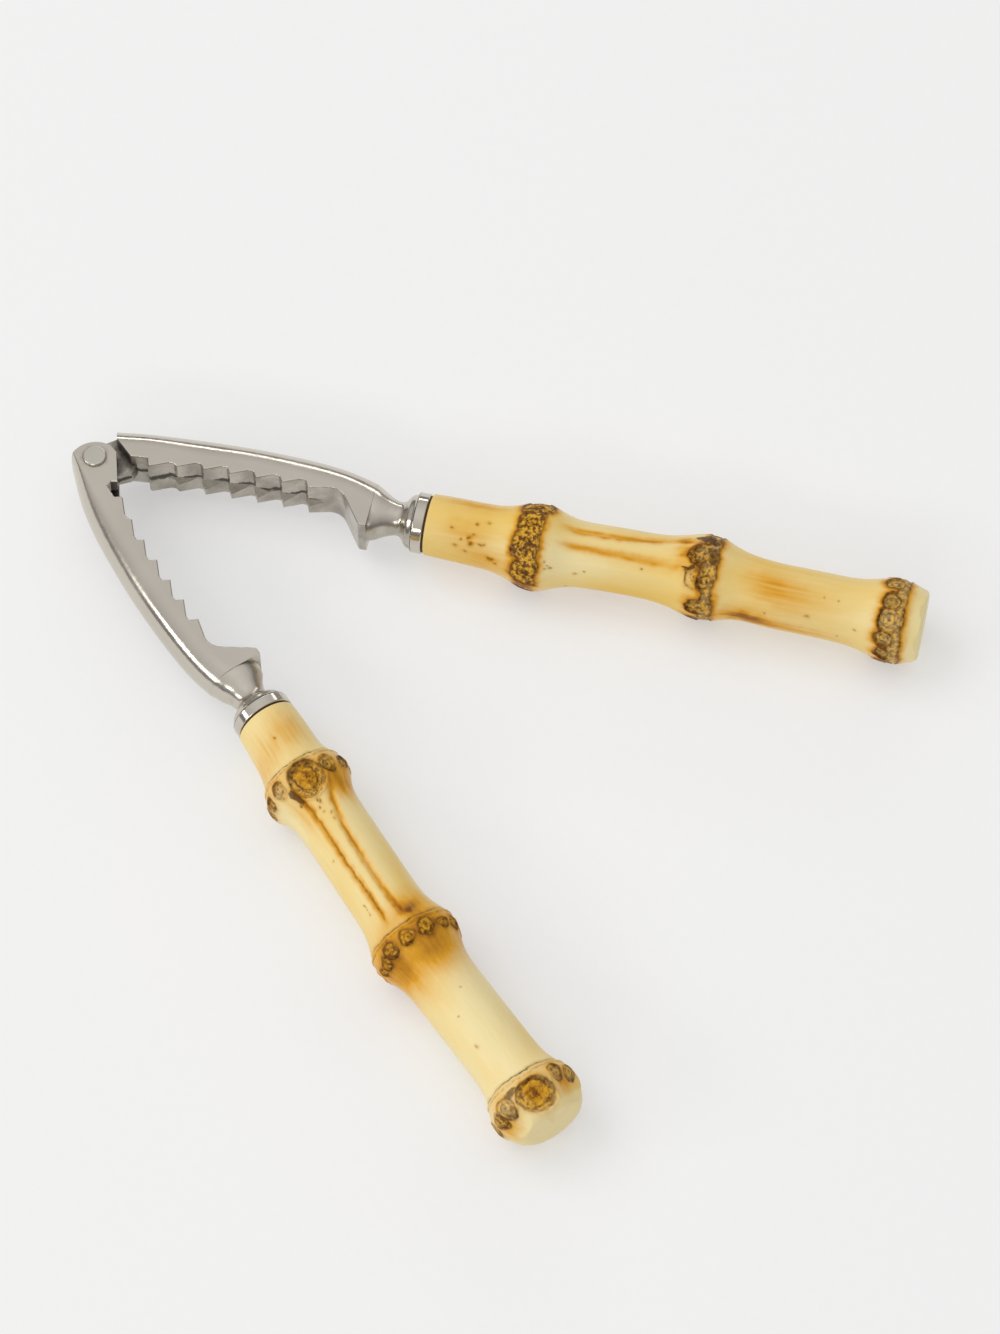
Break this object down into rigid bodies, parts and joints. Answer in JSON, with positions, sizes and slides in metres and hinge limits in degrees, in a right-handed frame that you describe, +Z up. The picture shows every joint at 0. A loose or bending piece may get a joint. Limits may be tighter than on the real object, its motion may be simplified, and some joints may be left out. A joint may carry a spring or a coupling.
{
  "type": "nutcracker",
  "caption": "Plier-style nutcracker lying open: two toothed polished cast jaws on a riveted fork-and-tongue hinge, with knotted bamboo-root handles behind waisted necks and ferrules.",
  "frame": {"origin": "centre of the bounding box's underside, with the tool lying on the knots of its handles, open as it rests", "axes": "+X along the centre line from the hinge rivet to the handle ends, +Y to the tongue arm's side, +Z up along the hinge rivet"},
  "size_m": [0.2004, 0.176, 0.0226],
  "materials": {
    "cast_steel": "polished",
    "ferrule_steel": "polished",
    "rivet_steel": "polished",
    "stud_steel": "machined",
    "dark_seal": "matt",
    "resin": "matt",
    "bamboo": "glossy lacquer"
  },
  "bodies": {
    "fork_arm": {"fork_jaw": "cast_steel", "hinge_rivet": "rivet_steel", "fork_ferrule": "ferrule_steel", "fork_seal": "dark_seal", "fork_tang": "stud_steel", "fork_bedding": "resin", "fork_handle": "bamboo"},
    "tongue_arm": {"tongue_jaw": "cast_steel", "tongue_ferrule": "ferrule_steel", "tongue_seal": "dark_seal", "tongue_tang": "stud_steel", "tongue_bedding": "resin", "tongue_handle": "bamboo"}
  },
  "joints": [
    {"name": "jaw_hinge", "type": "hinge", "parent": "fork_arm", "child": "tongue_arm", "pos_m": [-0.09504, 0.00193, 0.0113], "axis": [0, 0, 1], "range_deg": [-34, 100]}
  ]
}
